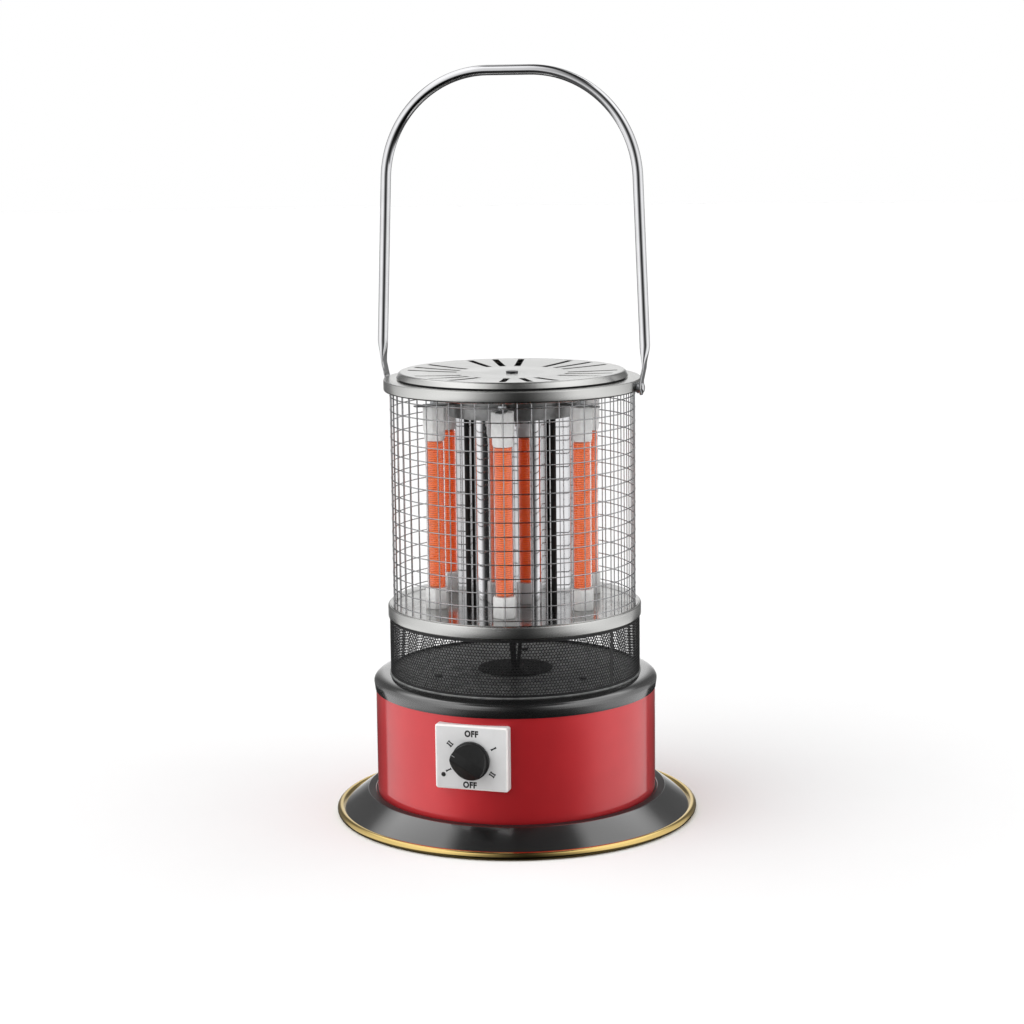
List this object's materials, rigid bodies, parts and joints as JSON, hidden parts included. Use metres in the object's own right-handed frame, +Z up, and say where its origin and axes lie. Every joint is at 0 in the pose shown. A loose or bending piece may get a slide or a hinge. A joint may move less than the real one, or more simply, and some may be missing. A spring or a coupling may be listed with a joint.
{
  "type": "portable quartz heater",
  "caption": "Free-standing round quartz-tube heater with a wire cage, mirror, rotary switch and swinging bail handle.",
  "frame": {"origin": "centre of the base, on the floor that the feet stand on", "axes": "+Z up, -Y towards the side with the knob, +X to the right seen from the knob's side"},
  "size_m": [0.339, 0.339, 0.6938],
  "materials": {
    "rubber": "matt moulded rubber",
    "black_enamel": "gloss black stove enamel on pressed steel",
    "brass_trim": "polished brass-coloured rolled bead",
    "red_lacquer": "gloss red lacquer on rolled steel",
    "brushed_steel": "stainless steel brushed round its axis",
    "mirror_steel": "mirror-polished folded sheet",
    "dark_steel": "plain rolled steel, heat-darkened",
    "zinc_steel": "bright zinc plating",
    "dark_screw": "blackened steel",
    "perforated_steel": "black finely perforated sheet",
    "black_disc": "matt black sheet",
    "black_sleeve": "varnished glass-fibre sleeve",
    "pale_plastic": "moulded pale grey plastic, fine texture",
    "black_plastic": "moulded black phenolic",
    "switch_plastic": "moulded dark thermoset",
    "quartz_glass": "clear fused quartz",
    "hot_wire": "glowing resistance wire",
    "ceramic": "white unglazed steatite",
    "cage_wire": "bright welded steel wire",
    "chrome": "bright chrome plating on steel tube"
  },
  "bodies": {
    "heater": {"rubber_feet": "rubber", "bottom_plate": "zinc_steel", "base_flange": "black_enamel", "trim_ring": "brass_trim", "housing_band": "red_lacquer", "shoulder_ring": "black_enamel", "support_posts": "zinc_steel", "base_screws": "zinc_steel", "floor_screws": "dark_screw", "perforated_floor": "perforated_steel", "floor_disc": "black_disc", "perforated_skirt": "perforated_steel", "wiring_leads": "black_sleeve", "control_plate": "pale_plastic", "rotary_switch": "switch_plastic", "switch_nut": "zinc_steel", "terminal_block": "switch_plastic", "thermal_cutout": "switch_plastic", "tip_switch": "switch_plastic", "cord_grommet": "rubber", "mid_ring": "brushed_steel", "element_deck": "brushed_steel", "reflector": "mirror_steel", "reflector_collar": "dark_steel", "upper_plate": "dark_steel", "quartz_tubes": "quartz_glass", "heating_coils": "hot_wire", "lower_ceramics": "ceramic", "upper_ceramics": "ceramic", "terminal_screws": "zinc_steel", "cage_uprights": "cage_wire", "cage_rings": "cage_wire", "cap_rim": "brushed_steel", "cap_pan": "brushed_steel", "tie_rod": "zinc_steel", "tie_rod_nut": "zinc_steel", "cap_screw": "dark_screw", "handle_screws": "chrome", "handle_washers": "zinc_steel", "handle_nuts": "zinc_steel"},
    "handle": {"handle": "chrome"},
    "knob": {"control_knob": "black_plastic", "switch_shaft": "zinc_steel"},
    "plunger": {"tip_plunger": "switch_plastic"}
  },
  "joints": [
    {"name": "handle_swing", "type": "hinge", "parent": "heater", "child": "handle", "pos_m": [0, 0, 0.403], "axis": [1, 0, 0], "range_deg": [-150, 150]},
    {"name": "knob_turn", "type": "hinge", "parent": "heater", "child": "knob", "pos_m": [0, -0.1365, 0.0815], "axis": [0, -1, 0], "continuous": true},
    {"name": "plunger_slide", "type": "slide", "parent": "heater", "child": "plunger", "axis": [0, 0, -1], "range_m": [0, 0.005], "stiffness_N_per_m": 60, "springref_m": 0.006}
  ]
}
